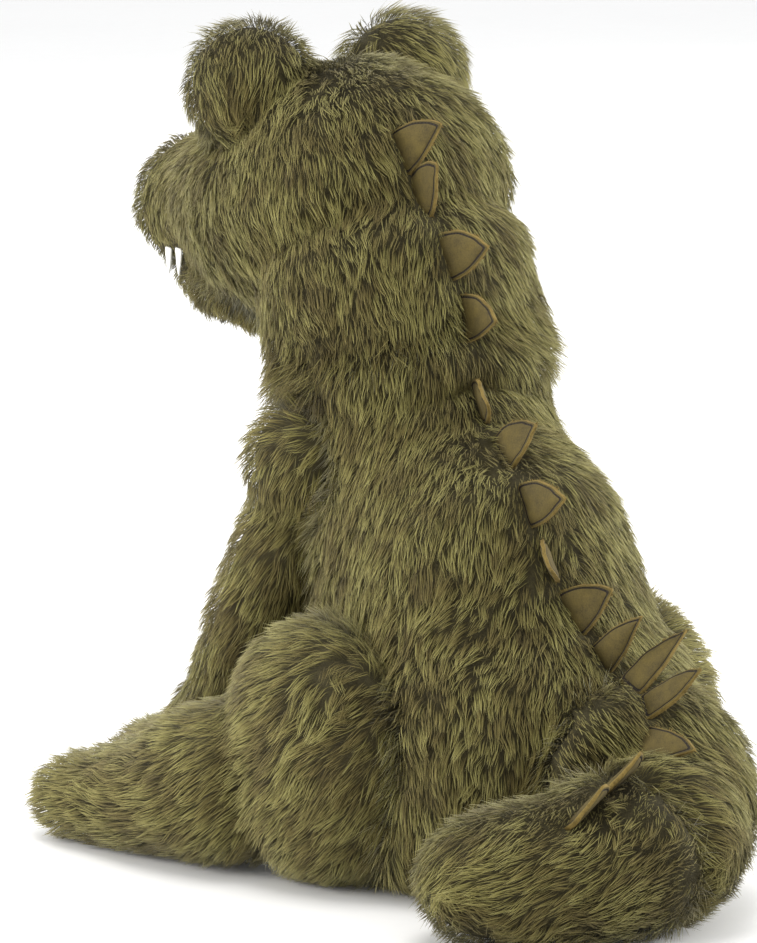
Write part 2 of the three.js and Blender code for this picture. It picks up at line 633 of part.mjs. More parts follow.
// A point of a form's outer face and the face's slope there.
function rootOn(of, place_) {
  const [solid, within] = SPIKED[of];
  const aim = place_.clone().sub(within);
  const level = aim.clone().cross(UPRIGHT).normalize();
  const steep = aim.clone().cross(level).normalize();
  const feel = (axis, turn) => leaves(solid, within, aim.clone().applyAxisAngle(axis, turn));
  const slope = (axis) => feel(axis, PROBE).sub(feel(axis, -PROBE));
  const normal = slope(level).cross(slope(steep)).normalize();
  return { at: leaves(solid, within, aim), normal: normal.dot(aim) < 0 ? normal.negate() : normal };
}

const roots = SPIKES.map(([of, x, y, z]) => rootOn(of, vec(x, y, z)));
const spikes = SPIKES.map(([of, , , , length, share, lean, tip], i) => {
  const before = roots[Math.max(0, i - 1)].at;
  const after = roots[Math.min(roots.length - 1, i + 1)].at;
  const { at, normal } = roots[i];
  const along = after.clone().sub(before);
  along.addScaledVector(normal, -normal.dot(along)).normalize();
  const up = normal.clone().applyAxisAngle(along, radians(lean));
  return { of, at, along, up, length, height: share * SPIKE_HEIGHT, tip };
});

function spikeRooms(of) {
  const mine = spikes.filter((spike) => spike.of === of);
  return joined(
    mine.map(({ at, along, up, length }) => {
      const room = new THREE.BoxGeometry(1.12 * length + 0.8, SPIKE_HEIGHT, SPIKE_THICK + 0.8);
      room.translate(0, SPIKE_HEIGHT / 2 - SPIKE_ROOT - 0.4, 0);
      room.applyMatrix4(new THREE.Matrix4().makeBasis(along, up, along.clone().cross(up)));
      return solidOf(room.translate(at.x, at.y, at.z));
    }),
  );
}

spikes.forEach(({ at, along, up, length, height, tip }, i) => {
  const outline = spikeOutline(length, height, SPIKE_ROOT, tip);
  place(`back_spike_${String(i + 1).padStart(2, "0")}`, "suede", flap(outline, SPIKE_THICK, at, along, up));
});

// ---------------------------------------------------------------- teeth
// Felt points sewn into the upper lip: [x, y, turn in degrees about the upright axis].
const TEETH = [
  ["front", 12, SKULL.y - SNOUT_LENGTH - 38, 0],
  ["middle", 27, SKULL.y - SNOUT_LENGTH - 12, 80],
  ["rear", 31, SKULL.y - SNOUT_LENGTH + 4, 80],
];
const TOOTH_ROOT = 3;
const toothRooms = [];
const headWhole = headShape(OUTSIDE);
for (const [place_, x, y, turn] of TEETH) {
  for (const [side, name] of [[1, "left"], [-1, "right"]]) {
    const lip = leaves(headWhole, vec(x * side * 0.9, y, MOUTH_HEIGHT + 16), vec(0.1 * x * side, 0, -16));
    const along = vec(Math.cos(radians(turn * side)), Math.sin(radians(turn * side)), 0);
    const down = vec(0, 0, -1);
    const root = lip.clone().addScaledVector(down, -TOOTH_ROOT);
    const whole = toothOutline(TOOTH_WIDTH, TOOTH_LENGTH + TOOTH_ROOT);
    place(`felt_tooth_${place_}_${name}`, "felt", flap(whole, FELT, root, along, down));
    const room = new THREE.BoxGeometry(TOOTH_WIDTH + 0.8, 2 * TOOTH_ROOT + 0.8, FELT + 0.8);
    room.applyMatrix4(new THREE.Matrix4().makeBasis(along, down, along.clone().cross(down)));
    toothRooms.push(solidOf(room.translate(lip.x, lip.y, lip.z)));
  }
}

// ---------------------------------------------------------------- inside the body
// A roll of wool through the neck opening, which the head turns and nods on.
const wadFrom = NECK_BALL_RADIUS - 26;
const wadTo = NECK_BALL_RADIUS + 11;
const wad = rod(NECK, NECK_AXIS, NECK_WAD_RADIUS, wadFrom, wadTo, 14);
place("neck_wad", "wool", wad);
const wadRoom = rod(NECK, NECK_AXIS, NECK_WAD_RADIUS + GAP, wadFrom - GAP, wadTo + 20, 14);
const NOD_AXIS = vec(1, 0, 0);
const wadNods = [-NOD, -0.5 * NOD, 0, 0.5 * NOD, NOD].map((d) => turnedSolid(wadRoom, NECK, NOD_AXIS, d));

const BEAN_BAG = vec(0, 8, 32);
const BEAN_BAG_SIZE = vec(31, 52, 17);
place("bean_bag", "beans", barrel(BEAN_BAG, BEAN_BAG_SIZE, 14));
const beanRoom = socket(BEAN_BAG, grown(BEAN_BAG_SIZE, 0.6), 14).add(rod(BEAN_BAG, UPRIGHT, 20, -40, 0, 8));

// ---------------------------------------------------------------- bodies
const eyeRooms = joined([eyeRoom(1), eyeRoom(-1)]);
const washerRooms = joined([washerRoom(1), washerRoom(-1)]);
const neckTop = NECK.clone().addScaledVector(NECK_AXIS, NECK_BALL_RADIUS);
const tailIn = barrel(RUMP.clone().add(vec(-6, RUMP_RADIUS + 3, 0)), rounded(16), 8);
const tipIn = barrel(TAIL_BEND.clone().add(vec(TAIL_BEND_RADIUS + 2, 6, -8)), rounded(12), 8);
const jawIn = barrel(vec(0, JAW_ROOT, 250), rounded(9), 8);
const rootRooms = spikeRooms("tail_base");
const tipRooms = spikeRooms("tail_tip");
stuffed("tail_base", tailBaseShape, tailIn, [rootRooms], [rootRooms], CORE + 3);
stuffed("tail_tip", tailTipShape, tipIn, [tipRooms], [tipRooms]);
const backRooms = spikeRooms("torso");
const torsoIn = barrel(neckTop, rounded(18), 12);
stuffed("torso", torsoShape, torsoIn, [backRooms, wadRoom], [backRooms, wadRoom, beanRoom]);
const crownRooms = spikeRooms("head");
const headRooms = [crownRooms, eyeRooms, washerRooms, ...toothRooms];
const headCoreRooms = [crownRooms, eyeRooms, washerRooms, ...wadNods];
stuffed("head", headShape, barrel(neckTop, rounded(30), 14), headRooms, headCoreRooms);
stuffed("jaw", jawShape, jawIn);

export default group;
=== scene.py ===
import json
import math

import bmesh
import bpy
import numpy as np
from mathutils import Matrix, Vector, noise
from mathutils.bvhtree import BVHTree
from mathutils.kdtree import KDTree


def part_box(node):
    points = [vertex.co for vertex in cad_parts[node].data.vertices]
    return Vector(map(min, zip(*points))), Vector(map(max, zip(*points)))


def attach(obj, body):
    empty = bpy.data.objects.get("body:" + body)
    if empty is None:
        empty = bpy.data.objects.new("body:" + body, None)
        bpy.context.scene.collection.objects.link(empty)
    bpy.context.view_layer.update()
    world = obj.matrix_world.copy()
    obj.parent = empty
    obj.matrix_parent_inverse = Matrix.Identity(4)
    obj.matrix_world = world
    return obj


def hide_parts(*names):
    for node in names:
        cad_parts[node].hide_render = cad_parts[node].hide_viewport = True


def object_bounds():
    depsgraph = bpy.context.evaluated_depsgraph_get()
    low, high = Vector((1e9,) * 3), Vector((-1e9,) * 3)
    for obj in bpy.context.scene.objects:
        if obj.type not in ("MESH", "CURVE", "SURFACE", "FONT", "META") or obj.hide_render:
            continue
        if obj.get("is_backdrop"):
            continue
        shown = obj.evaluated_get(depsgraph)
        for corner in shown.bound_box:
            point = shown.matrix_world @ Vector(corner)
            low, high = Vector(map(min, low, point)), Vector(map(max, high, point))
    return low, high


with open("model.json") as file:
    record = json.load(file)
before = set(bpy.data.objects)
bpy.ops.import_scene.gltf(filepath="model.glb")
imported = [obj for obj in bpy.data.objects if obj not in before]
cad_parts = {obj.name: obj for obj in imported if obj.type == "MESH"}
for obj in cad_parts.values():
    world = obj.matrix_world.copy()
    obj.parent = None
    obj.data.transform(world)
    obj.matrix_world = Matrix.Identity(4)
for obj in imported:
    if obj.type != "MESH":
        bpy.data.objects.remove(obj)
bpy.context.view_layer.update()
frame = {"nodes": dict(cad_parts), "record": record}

SCENE = bpy.context.scene
MM = 0.001

# ------------------------------------------------------------------ sizes
PELT_VOXEL = 4.5 * MM
PELT_SWELL = 2.5 * MM  # most that the stuffing pushes the cloth out
SEAM_SWELL = 0.3 * MM  # the same beside another limb
COLLAR_ROLL, COLLAR_HIGH = 5.5 * MM, 26 * MM
FLOOR_GAP = 0.5 * MM  # least height of the cloth above the floor
LOCKS = 272000  # locks of pile on the whole toy
LOCK_WIDTH = 0.26 * MM
LOCK_FLAT = 0.5  # a lock's thickness, as a share of its width
PILE_LENGTH = 13.0 * MM
TUFT_AREA = 24.0 * MM * MM
COVERED = 2.0 * MM  # pile nearer than this to another limb is pressed short
PIECE_LOCKS = 32000
SOFTNESS = 0.6  # how much a lock's own roundness shows beside the cloth's
LOCK_WAIST = 0.42  # where a lock is widest, as a share of its length
CLEAR_OF_SPIKES = 6.0 * MM  # pile nearer than this to a spike is cut short
CLEAR_OF_TEETH = 15.0 * MM
CLEAR_OF_EYES = 8.0 * MM
SEAM_REACH = 14 * MM  # how far from a seam the pile is longer
SEAM_RISE = 12 * MM  # how far from a seam it stands up more
SEAM_LEAST = 0.08  # extra pile beside a seam, where SEAM_FILL gives none
SEAM_FILL = {
    "head": 0.5,
    "torso": 0.6,
    "arm_left": 0.25,
    "arm_right": 0.25,
    "leg_left": 0.2,
    "leg_right": 0.2,
}
TUFT_PULL = 0.52  # how far a lock's tip is drawn to its tuft's
SEED = 7
noise.seed_set(SEED)  # noise_vector takes its offsets from this seed, or else from the clock

# ------------------------------------------------------------------ camera, light and floor
VIEW_AZIMUTH, VIEW_ELEVATION, VIEW_DISTANCE = math.radians(148.0), math.radians(9.5), 3.0
AIM = Vector((0.0, -0.020, 0.190))
ASIDE, BELOW = 0.0408, 0.0045


def turned_to(back, up=Vector((0, 0, 1))):
    """The rotation of a camera or lamp that looks along minus back."""
    across = up.cross(back).normalized()
    return Matrix((across, back.cross(across), back)).transposed().to_quaternion()


def add_camera():
    a, e = VIEW_AZIMUTH, VIEW_ELEVATION
    back = Vector((math.sin(a) * math.cos(e), -math.cos(a) * math.cos(e), math.sin(e)))
    across = Vector((0, 0, 1)).cross(back).normalized()
    above = back.cross(across)
    bpy.ops.object.camera_add()
    camera = bpy.context.object
    camera.data.lens = 242.8
    camera.data.sensor_width = 36
    camera.location = AIM + VIEW_DISTANCE * back - ASIDE * across - BELOW * above
    camera.rotation_mode = "QUATERNION"
    camera.rotation_quaternion = turned_to(back)
    SCENE.camera = camera


def add_lamp(name, place, size, power, colour=(1, 1, 1)):
    bpy.ops.object.light_add(type="AREA")
    lamp = bpy.context.object
    lamp.name = name
    lamp.data.size = size
    lamp.data.energy = power
    lamp.data.color = colour
    lamp.location = place
    lamp.rotation_mode = "QUATERNION"
    lamp.rotation_quaternion = turned_to((Vector(place) - AIM).normalized())


def add_studio():
    add_camera()
    add_lamp("top_lamp", (0.5, 0.3, 3.2), 1.6, 46, (1.0, 0.98, 0.94))
    add_lamp("left_lamp", (2.9, -0.9, 1.0), 1.8, 84, (1.0, 0.98, 0.95))
    add_lamp("right_lamp", (-2.7, 1.3, 1.3), 1.8, 96, (1.0, 0.99, 0.97))
    add_lamp("front_lamp", (-0.6, -2.9, 1.5), 2.2, 30)
    world = bpy.data.worlds.new("pale_room")
    SCENE.world = world
    world.use_nodes = True
    sky = world.node_tree.nodes["Background"]
    sky.inputs["Color"].default_value = (0.97, 0.975, 0.98, 1)
    sky.inputs["Strength"].default_value = 1.0
    bpy.ops.mesh.primitive_circle_add(vertices=96, radius=60, fill_type="NGON", location=(0, 0, -0.0006))
    floor = bpy.context.object
    floor.name = "studio_floor"
    floor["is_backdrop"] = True
    floor.data.materials.append(floor_finish())
    SCENE.view_settings.view_transform = "Standard"
    SCENE.view_settings.look = "None"


# ------------------------------------------------------------------ finishes
def new_finish(name, roughness=0.8, **sockets):
    """A material with its Principled shader and a helper that adds nodes to it."""
    made = bpy.data.materials.new(name)
    made.use_nodes = True
    nodes, links = made.node_tree.nodes, made.node_tree.links
    shader = nodes["Principled BSDF"]
    shader.inputs["Roughness"].default_value = roughness
    for socket, value in sockets.items():
        shader.inputs[socket.replace("_", " ")].default_value = value

    def add(kind, settings=None, **wires):
        node = nodes.new("ShaderNode" + kind)
        for key, value in (settings or {}).items():
            if key in node.inputs:
                node.inputs[key].default_value = value
            else:
                setattr(node, key, value)
        for key, wire in wires.items():
            links.new(wire, node.inputs[key.replace("_", " ")])
        return node

    return made, shader, add, links


def ramp(node, stops):
    """Sets a colour ramp's stops, (place, colour) pairs."""
    band = node.color_ramp
    for spare in list(band.elements)[2:]:
        band.elements.remove(spare)
    for i, (place, colour) in enumerate(stops):
        stop = band.elements[i] if i < 2 else band.elements.new(place)
        stop.position = place
        stop.color = (*colour, 1)
    return node


def linear(red, green, blue):
    """A colour given as 0 to 255, as the shader takes it."""
    shares = [c / 255 for c in (red, green, blue)]
    return tuple(((c + 0.055) / 1.055) ** 2.4 if c > 10 / 255 else c / 12.92 for c in shares)


def mottled_finish(name, dark, light, scale, grain_scale, bump, roughness=0.8, **sockets):
    """A finish whose colour wanders between two shades, with a fine grain that is also its relief."""
    made, shader, add, links = new_finish(name, roughness, **sockets)
    place = add("TexCoord").outputs["Object"]
    broad = add("TexNoise", {"Scale": scale, "Detail": 4.0, "Roughness": 0.6}, Vector=place)
    grain = add("TexNoise", {"Scale": grain_scale, "Detail": 3.0, "Roughness": 0.7}, Vector=place)
    both = add("Math", {"operation": "ADD"})
    links.new(broad.outputs["Fac"], both.inputs[0])
    links.new(grain.outputs["Fac"], both.inputs[1])
    half = add("Math", {"operation": "MULTIPLY"})
    links.new(both.outputs[0], half.inputs[0])
    half.inputs[1].default_value = 0.5
    shade = ramp(add("ValToRGB", Fac=half.outputs[0]), [(0.36, dark), (0.64, light)])
    links.new(shade.outputs["Color"], shader.inputs["Base Color"])
    relief = add("Bump", {"Strength": 0.6, "Distance": bump}, Height=grain.outputs["Fac"])
    links.new(relief.outputs["Normal"], shader.inputs["Normal"])
    return made


def floor_finish():
    return mottled_finish("pale_floor", (0.86, 0.86, 0.86), (0.88, 0.88, 0.88), 3.0, 60.0, 0.0002, 0.7)


def pile_finish():
    """The locks: dark at the root and pale at the tip, partly the pile's own colour and partly painted
    shade deep in the pile and painted light on the tips, in a tone that the lock's own map gives.
    """
    made, shader, add, links = new_finish("fur_pile", 0.75, Specular_IOR_Level=0.25)
    shader.inputs["Sheen Weight"].default_value = 0.25
    shader.inputs["Sheen Roughness"].default_value = 0.5
    shader.inputs["Sheen Tint"].default_value = (0.8, 0.78, 0.6, 1)
    places = add("UVMap", {"uv_map": "OFBake"}).outputs["UV"]
    split = add("SeparateXYZ", Vector=places)
    # dark roots and pale tips: partly the pile's own colour, partly painted shade deep in the pile and
    # painted light on the tips
    length = ramp(
        add("ValToRGB", Fac=split.outputs["Y"]),
        [
            (0.0, linear(40, 35, 14)),
            (0.3, linear(84, 78, 40)),
            (0.7, linear(130, 123, 74)),
            (1.0, linear(176, 169, 118)),
        ],
    )
    # each lock's tone: random tone, with painted shade on ruffled tufts and painted light on the smooth
    # side
    tone = ramp(
        add("ValToRGB", Fac=split.outputs["X"]),
        [
            (0.0, linear(142, 129, 104)),
            (0.35, linear(204, 195, 174)),
            (0.7, linear(248, 250, 232)),
            (1.0, linear(255, 255, 250)),
        ],
    )
    mixed = add("Mix", {"data_type": "RGBA", "blend_type": "MULTIPLY"})
    mixed.inputs["Factor"].default_value = 1.0
    links.new(length.outputs["Color"], mixed.inputs[6])
    links.new(tone.outputs["Color"], mixed.inputs[7])
    links.new(mixed.outputs[2], shader.inputs["Base Color"])
    return made


# ------------------------------------------------------------------ meshes
def deselect():
    if bpy.context.object is not None and bpy.context.object.mode != "OBJECT":
        bpy.ops.object.mode_set(mode="OBJECT")
    bpy.ops.object.select_all(action="DESELECT")


def use(obj):
    deselect()
    obj.select_set(True)
    bpy.context.view_layer.objects.active = obj
    return obj


def places(obj):
    found = np.empty(len(obj.data.vertices) * 3, np.float32)
    obj.data.vertices.foreach_get("co", found)
    return found.reshape(-1, 3).astype(float)


def set_places(obj, points):
    obj.data.vertices.foreach_set("co", np.asarray(points, np.float32).ravel())
    obj.data.update()


def normals(obj):
    found = np.empty(len(obj.data.vertices) * 3, np.float32)
    obj.data.vertices.foreach_get("normal", found)
    return found.reshape(-1, 3).astype(float)


def unit(v):
    return v / np.maximum(np.linalg.norm(v, axis=-1, keepdims=True), 1e-9)


def copy_of(node, name):
    """A closed copy of a CAD node's mesh, with its doubles merged."""
    made = bpy.data.objects.new(name, frame["nodes"][node].data.copy())
    SCENE.collection.objects.link(made)
    made.data.materials.clear()
    use(made)
    bpy.ops.object.mode_set(mode="EDIT")
    bpy.ops.mesh.select_all(action="SELECT")
    bpy.ops.mesh.remove_doubles(threshold=0.00002)
    bpy.ops.object.mode_set(mode="OBJECT")
    return made


def largest_part(obj):
    """Deletes every loose part but the one with the largest box, which is the outer face."""
    mesh = bmesh.new()
    mesh.from_mesh(obj.data)
    left, parts = set(mesh.verts), []
    while left:
        front = [left.pop()]
        part = list(front)
        while front:
            for edge in front.pop().link_edges:
                for v in edge.verts:
                    if v in left:
                        left.remove(v)
                        front.append(v)
                        part.append(v)
        parts.append(part)

    def spread(part):
        points = np.array([v.co for v in part])
        return float(np.linalg.norm(points.max(0) - points.min(0)))

    parts.sort(key=spread)
    bmesh.ops.delete(mesh, geom=[v for part in parts[:-1] for v in part], context="VERTS")
    mesh.to_mesh(obj.data)
    mesh.free()


def smooth_faces(obj):
    obj.data.polygons.foreach_set("use_smooth", np.ones(len(obj.data.polygons), bool))
    obj.data.update()


def apply_modifier(obj, kind, **settings):
    modifier = obj.modifiers.new(kind.lower(), kind)
    for key, value in settings.items():
        setattr(modifier, key, value)
    use(obj)
    bpy.ops.object.modifier_apply(modifier=modifier.name)


# ------------------------------------------------------------------ pelts
# Each plush form: its body and the CAD nodes that it stands for.
FORMS = {
    "torso": "torso",
    "head": "head",
    "jaw": "head",
    "arm_left": "arm_left",
    "arm_right": "arm_right",
    "leg_left": "leg_left",
    "leg_right": "leg_right",
    "tail_base": "tail_base",
    "tail_tip": "tail_tip",
}


def sewn_pelt(form):
    """The outer cloth of one form, closed over its stuffing."""
    skin = copy_of(f"{form}_skin", f"{form}_pelt")
    wool = copy_of(f"{form}_stuffing", f"{form}_wool")
    set_places(wool, places(wool) + normals(wool) * 2.0 * MM)
    use(skin)
    wool.select_set(True)
    bpy.ops.object.join()
    apply_modifier(skin, "REMESH", mode="VOXEL", voxel_size=PELT_VOXEL)
    largest_part(skin)
    apply_modifier(skin, "SMOOTH", factor=0.5, iterations=3)
    return skin


def tree_of(objects):
    """One search tree over several meshes."""
    points, faces, start = [], [], 0
    for obj in objects:
        points.append(places(obj))
        faces += [[v + start for v in p.vertices] for p in obj.data.polygons]
        start += len(points[-1])
    return BVHTree.FromPolygons(np.vstack(points).tolist(), faces)


def near(tree, points, reach):
    """Each point's distance from a tree's faces, or reach where it is further, and which way they face."""
    found, facing = np.full(len(points), reach), np.zeros((len(points), 3))
    for i, p in enumerate(points):
        hit = tree.find_nearest(Vector(p), reach)
        if hit[3] is not None:
            found[i] = hit[3]
            facing[i] = hit[1]
    return found, facing


def roll_collar(pelts):
    """The torso's cloth rolls out a little under the head, so that the neck shows no step."""
    torso = pelts["torso"]
    points, out = places(torso), normals(torso)
    gap = near(tree_of([pelts["head"]]), points, COLLAR_HIGH)[0]
    arms = near(tree_of([pelts["arm_left"], pelts["arm_right"]]), points, 14 * MM)[0]
    roll = COLLAR_ROLL * np.sin(math.pi * np.interp(gap, [1.0 * MM, COLLAR_HIGH], [0.0, 1.0]))
    roll *= np.interp(arms, [4 * MM, 14 * MM], [0.0, 1.0])
    out[:, 2] = 0
    set_places(torso, points + unit(out) * roll[:, None])


def stuff(pelts):
    """Cloth pressure from inside swells each pelt a little, less beside its neighbours."""
    rest = {form: places(pelt) for form, pelt in pelts.items()}
    limit = {}
    for form, pelt in pelts.items():
        others = tree_of([o for f, o in pelts.items() if f != form])
        near = np.array(
            [others.find_nearest(Vector(p), 7 * MM)[0] is not None for p in rest[form]]
        )
        limit[form] = np.where(near, SEAM_SWELL, PELT_SWELL)
    for pelt in pelts.values():
        cloth = pelt.modifiers.new("stuffing", "CLOTH")
        cloth.settings.use_pressure = True
        cloth.settings.uniform_pressure_force = 4
        cloth.settings.effector_weights.gravity = 0
        cloth.point_cache.frame_start, cloth.point_cache.frame_end = 1, 20
    for step in range(1, 21):
        SCENE.frame_set(step)
    scene_now = bpy.context.evaluated_depsgraph_get()
    for form, pelt in pelts.items():
        swollen = pelt.evaluated_get(scene_now)
        move = places(swollen) - rest[form]
        far = np.maximum(np.linalg.norm(move, axis=1), 1e-9)
        share = np.minimum(1.0, limit[form] / far)
        pelt.modifiers.remove(pelt.modifiers["stuffing"])
        set_places(pelt, rest[form] + move * share[:, None])
    SCENE.frame_set(1)
    roll_collar(pelts)
    for form, pelt in pelts.items():
        apply_modifier(pelt, "SMOOTH", factor=0.5, iterations=2)
        apply_modifier(pelt, "SUBSURF", levels=1, render_levels=1)
        points = places(pelt)
        points[:, 2] = np.maximum(points[:, 2], FLOOR_GAP)
        set_places(pelt, points)
        smooth_faces(pelt)


# ------------------------------------------------------------------ fur
def combed(form, p):
    """Which way the pile is brushed at each point of a form."""
    side = np.clip(p[:, 0] / (25 * MM), -1, 1)
    zero, one = np.zeros(len(p)), np.ones(len(p))

    def between(values, low, high):
        t = np.clip((values - low) / (high - low), 0, 1)
        return (t * t * (3 - 2 * t))[:, None]

    if form in ("head", "jaw"):
        face = np.stack([0.5 * side, 0.5 * one, -0.6 * one], 1)
        nape = np.stack([0.25 * side, 0.7 * one, -one], 1)
        t = between(p[:, 1], -0.17, -0.09)
        return face * (1 - t) + nape * t
    if form == "torso":
        return np.stack([0.3 * side, 0.3 * one, -one], 1)
    if form.startswith("arm"):
        upper = np.stack([0.1 * side, -0.4 * one, -one], 1)
        paw = np.stack([0.1 * side, -one, -0.15 * one], 1)
        t = between(-p[:, 2], -0.07, -0.03)
        return upper * (1 - t) + paw * t
    if form.startswith("leg"):
        haunch = np.stack([0.35 * side, -0.7 * one, -0.8 * one], 1)
        foot = np.stack([0.35 * side, -one, -0.1 * one], 1)
        t = between(-p[:, 1], 0.03, 0.10)
        return haunch * (1 - t) + foot * t
    if form == "tail_base":
        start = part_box("tail_base_skin")[0][1]
        near_rump = np.stack([zero, 0.9 * one, -0.6 * one], 1)
        outer = np.stack([-0.3 * one, one, -0.25 * one], 1)
        t = between(p[:, 1], start + 0.01, start + 0.08)
        return near_rump * (1 - t) + outer * t
    return np.stack([0.9 * one, 0.35 * one, -0.2 * one], 1)


def ruffle(p):
    """How far the pile is ruffled, from 0 to 1: most on the toy's left side, least along the right."""
    side = np.clip((p[:, 0] + 0.045) / 0.06, 0, 1)
    wave = 0.5 + 0.9 * wandering(p, 60 * MM, 6)[:, 0]
    return np.clip(side, 0.12, 1) * np.clip(wave, 0.15, 1)


def lock_template():
    """One lock of pile: a three-sided spindle, widest below its middle, one unit long and one wide."""
    deselect()
    bpy.ops.mesh.primitive_cone_add(
        vertices=3, radius1=1, radius2=0, depth=1 - LOCK_WAIST, end_fill_type="TRIFAN", location=(0, 0, 0)
    )
    made = bpy.context.object
    points = places(made)
    points[:, 2] += (1 + LOCK_WAIST) / 2
    root = (np.abs(points[:, 2] - LOCK_WAIST) < 0.01) & (np.abs(points[:, :2]).sum(1) < 0.01)
    points[root, 2] = 0
    faces = [tuple(p.vertices) for p in made.data.polygons]
    bpy.data.objects.remove(made)
    return points, faces


def copies_mesh(name, template, faces, centre, across, other, outward, shade, finish):
    """Many copies of a small shape as one mesh. centre gives each copy's line at each template height."""
    count, corners = len(centre), len(template)
    points = (
        centre
        + across[:, None, :] * template[None, :, 0:1]
        + other[:, None, :] * template[None, :, 1:2]
    )
    mesh = bpy.data.meshes.new(name)
    loops = np.concatenate([np.array(f) for f in faces])
    sizes = np.array([len(f) for f in faces])
    mesh.vertices.add(count * corners)
    mesh.vertices.foreach_set("co", points.astype(np.float32).ravel())
    mesh.loops.add(count * len(loops))
    every = (np.arange(count)[:, None] * corners + loops[None, :]).ravel()
    mesh.loops.foreach_set("vertex_index", every.astype(np.int32))
    mesh.polygons.add(count * len(faces))
    starts = np.concatenate([[0], np.cumsum(sizes)[:-1]])
    firsts = (np.arange(count)[:, None] * len(loops) + starts[None, :]).ravel()
    mesh.polygons.foreach_set("loop_start", firsts.astype(np.int32))
    mesh.polygons.foreach_set("use_smooth", np.ones(count * len(faces), bool))
    mesh.update(calc_edges=True)
    places_on = mesh.uv_layers.new(name="OFBake")
    wide = 0.004
    u = shade[:, None] + wide * template[loops, 0][None, :]
    v = np.broadcast_to(0.01 + 0.97 * template[loops, 2] + 0.006 * template[loops, 1], (count, len(loops)))
    places_on.data.foreach_set("uv", np.stack([u, v], -1).astype(np.float32).ravel())
    mesh.materials.append(finish)
    mesh.validate()
    turned = outward[:, None, :] + SOFTNESS * unit(
        across[:, None, :] * template[None, :, 0:1] + other[:, None, :] * template[None, :, 1:2]
    )
    mesh.normals_split_custom_set_from_vertices(unit(turned).reshape(-1, 3))
    made = bpy.data.objects.new(name, mesh)
    SCENE.collection.objects.link(made)
    return made


def wandering(points, size, turn):
    """Smooth noise of a chosen size at each point, as three numbers each."""
    shift = Vector((turn * 17.3, turn * 5.1, turn * 9.7))
    return np.array([noise.noise_vector(Vector(p) / size + shift) for p in points])


def scattered(obj, rng, count):
    """Points spread over a mesh by area, with their smooth normals."""
    mesh = obj.data
    mesh.calc_loop_triangles()
    corners = np.empty(len(mesh.loop_triangles) * 3, np.int32)
    mesh.loop_triangles.foreach_get("vertices", corners)
    corners = corners.reshape(-1, 3)
    points, normal = places(obj), normals(obj)
    a, b, c = (points[corners[:, k]] for k in range(3))
    area = np.linalg.norm(np.cross(b - a, c - a), axis=1) / 2
    if count is None:
        return float(area.sum())
    steps = np.cumsum(area) / area.sum()
    pick = np.searchsorted(steps, (np.arange(count) + rng.random(count)) / count)
    pick = np.minimum(pick, len(corners) - 1)
    r, s = np.sqrt(rng.random(count)), rng.random(count)
    weight = np.stack([1 - r, r * (1 - s), r * s], 1)[:, :, None]
    tri = corners[pick]
    return (points[tri] * weight).sum(1), unit((normal[tri] * weight).sum(1))


